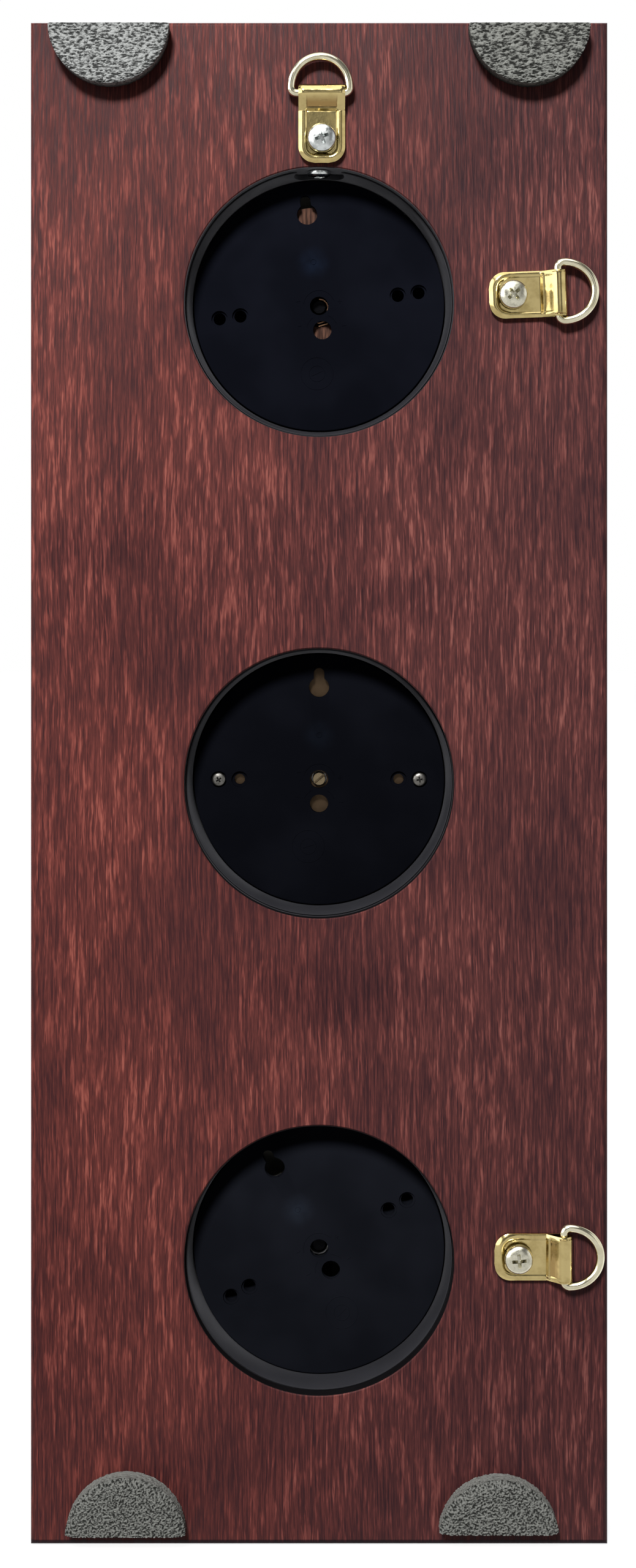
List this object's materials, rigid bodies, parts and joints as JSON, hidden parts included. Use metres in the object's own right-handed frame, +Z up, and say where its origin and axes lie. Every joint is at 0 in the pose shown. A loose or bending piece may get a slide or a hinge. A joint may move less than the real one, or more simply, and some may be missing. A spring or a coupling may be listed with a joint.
{
  "type": "wall weather station",
  "caption": "Wooden wall board with a thermometer, an aneroid barometer and a hygrometer in round wells, ring hangers and foam pads on its back.",
  "frame": {"origin": "inside of the top ring where a nail bears, on the plane of the wall", "axes": "+Z up along the board, +Y out of the back of the board towards the wall, +X to the right of someone who looks at the dials"},
  "size_m": [0.13, 0.0339, 0.3431],
  "materials": {
    "red_brown_wood": "open-grained stained wood, satin",
    "grey_foam": "crinkled foam rubber",
    "strap_metal": "plated, slightly worn",
    "ring_metal": "plated wire",
    "zinc_screw": "bright zinc",
    "sleeve_plastic": "satin moulded",
    "case_plastic": "semi-gloss moulded",
    "bezel_brass": "polished",
    "clear_glass": "clear",
    "spacer_plastic": "satin",
    "dial_enamel": "printed enamel",
    "needle_enamel": "black enamel",
    "spring_steel": "rolled",
    "bimetal": "rolled copper alloy",
    "movement_brass": "machined",
    "brown_fibreboard": "bare fibreboard"
  },
  "bodies": {
    "backboard": {"board": "red_brown_wood", "pad_top_left": "grey_foam", "pad_top_right": "grey_foam", "pad_bottom_left": "grey_foam", "pad_bottom_right": "grey_foam", "top_hanger_strap": "strap_metal", "top_hanger_screw": "zinc_screw", "upper_side_hanger_strap": "strap_metal", "upper_side_hanger_screw": "zinc_screw", "lower_side_hanger_strap": "strap_metal", "lower_side_hanger_screw": "zinc_screw", "thermometer_sleeve": "sleeve_plastic", "barometer_sleeve": "sleeve_plastic", "hygrometer_sleeve": "sleeve_plastic", "thermometer_sleeve_screw": "zinc_screw"},
    "top_loop": {"top_hanger_ring": "ring_metal"},
    "upper_side_loop": {"upper_side_hanger_ring": "ring_metal"},
    "lower_side_loop": {"lower_side_hanger_ring": "ring_metal"},
    "thermometer_unit": {"thermometer_case": "case_plastic", "thermometer_bezel": "bezel_brass", "thermometer_glass": "clear_glass", "thermometer_spacer_ring": "spacer_plastic", "thermometer_dial": "dial_enamel", "thermometer_bracket": "movement_brass", "thermometer_coil": "bimetal", "thermometer_backing_strip": "brown_fibreboard"},
    "thermometer_pointer": {"thermometer_needle": "needle_enamel", "thermometer_arbor": "spring_steel"},
    "barometer_unit": {"barometer_case": "case_plastic", "barometer_bezel": "bezel_brass", "barometer_glass": "clear_glass", "barometer_spacer_ring": "spacer_plastic", "barometer_dial": "dial_enamel", "barometer_frame_plate": "movement_brass", "barometer_case_screw_left": "zinc_screw", "barometer_case_screw_right": "zinc_screw", "barometer_adjuster_bushing": "movement_brass", "barometer_capsule": "spring_steel", "barometer_bridge": "movement_brass", "barometer_hairspring": "spring_steel"},
    "barometer_pointer": {"barometer_needle": "needle_enamel", "barometer_arbor": "spring_steel"},
    "hygrometer_unit": {"hygrometer_case": "case_plastic", "hygrometer_bezel": "bezel_brass", "hygrometer_glass": "clear_glass", "hygrometer_spacer_ring": "spacer_plastic", "hygrometer_dial": "dial_enamel", "hygrometer_bracket": "movement_brass", "hygrometer_coil": "spring_steel"},
    "hygrometer_pointer": {"hygrometer_needle": "needle_enamel", "hygrometer_arbor": "spring_steel"},
    "pressure_adjuster": {"barometer_adjusting_screw": "movement_brass"},
    "gear_sector": {"barometer_sector": "movement_brass"},
    "rocking_shaft": {"barometer_rocker": "spring_steel"}
  },
  "joints": [
    {"name": "top_ring_hinge", "type": "hinge", "parent": "backboard", "child": "top_loop", "pos_m": [-0.0006, -0.003, -0.00725], "axis": [-1, 0, 0], "range_deg": [-6, 155]},
    {"name": "upper_side_ring_hinge", "type": "hinge", "parent": "backboard", "child": "upper_side_loop", "pos_m": [-0.0536, -0.003, -0.05205], "axis": [-0.0349, 0, -0.9994], "range_deg": [-6, 155]},
    {"name": "lower_side_ring_hinge", "type": "hinge", "parent": "backboard", "child": "lower_side_loop", "pos_m": [-0.0548, -0.003, -0.26845], "axis": [0, 0, -1], "range_deg": [-6, 155]},
    {"name": "thermometer_unit_turn", "type": "hinge", "parent": "backboard", "child": "thermometer_unit", "pos_m": [0, -0.0053, -0.05375], "axis": [0, 1, 0], "continuous": true},
    {"name": "barometer_unit_turn", "type": "hinge", "parent": "backboard", "child": "barometer_unit", "pos_m": [0, -0.0053, -0.16225], "axis": [0, 1, 0], "continuous": true},
    {"name": "hygrometer_unit_turn", "type": "hinge", "parent": "backboard", "child": "hygrometer_unit", "pos_m": [0, -0.0053, -0.26975], "axis": [0, 1, 0], "continuous": true},
    {"name": "gear_sector_turn", "type": "hinge", "parent": "barometer_unit", "child": "gear_sector", "pos_m": [0.0158, -0.0053, -0.16225], "axis": [0, 1, 0], "range_deg": [-22.5, 27.5], "stiffness_Nm_per_rad": 0.005},
    {"name": "rocking_shaft_turn", "type": "hinge", "parent": "barometer_unit", "child": "rocking_shaft", "pos_m": [0.018, -0.0175, -0.16355], "axis": [1, 0, 0], "range_deg": [-12.5, 15.2]},
    {"name": "thermometer_pointer_turn", "type": "hinge", "parent": "thermometer_unit", "child": "thermometer_pointer", "pos_m": [0, -0.0053, -0.05375], "axis": [0, 1, 0], "range_deg": [-154.29, 115.71], "stiffness_Nm_per_rad": 0.0002},
    {"name": "barometer_pointer_turn", "type": "hinge", "parent": "barometer_unit", "child": "barometer_pointer", "pos_m": [0, -0.0053, -0.16225], "axis": [0, 1, 0], "range_deg": [-165, 135]},
    {"name": "hygrometer_pointer_turn", "type": "hinge", "parent": "hygrometer_unit", "child": "hygrometer_pointer", "pos_m": [0, -0.0053, -0.26975], "axis": [0, 1, 0], "range_deg": [-148.5, 121.5], "stiffness_Nm_per_rad": 0.0002},
    {"name": "pressure_adjuster_turn", "type": "hinge", "parent": "barometer_unit", "child": "pressure_adjuster", "pos_m": [0, -0.0053, -0.16225], "axis": [0, 1, 0], "range_deg": [-360, 360]}
  ],
  "couplings": [
    {"joint": "barometer_pointer_turn", "follows": "gear_sector_turn", "ratio": -6},
    {"joint": "rocking_shaft_turn", "follows": "gear_sector_turn", "ratio": 0.55}
  ]
}
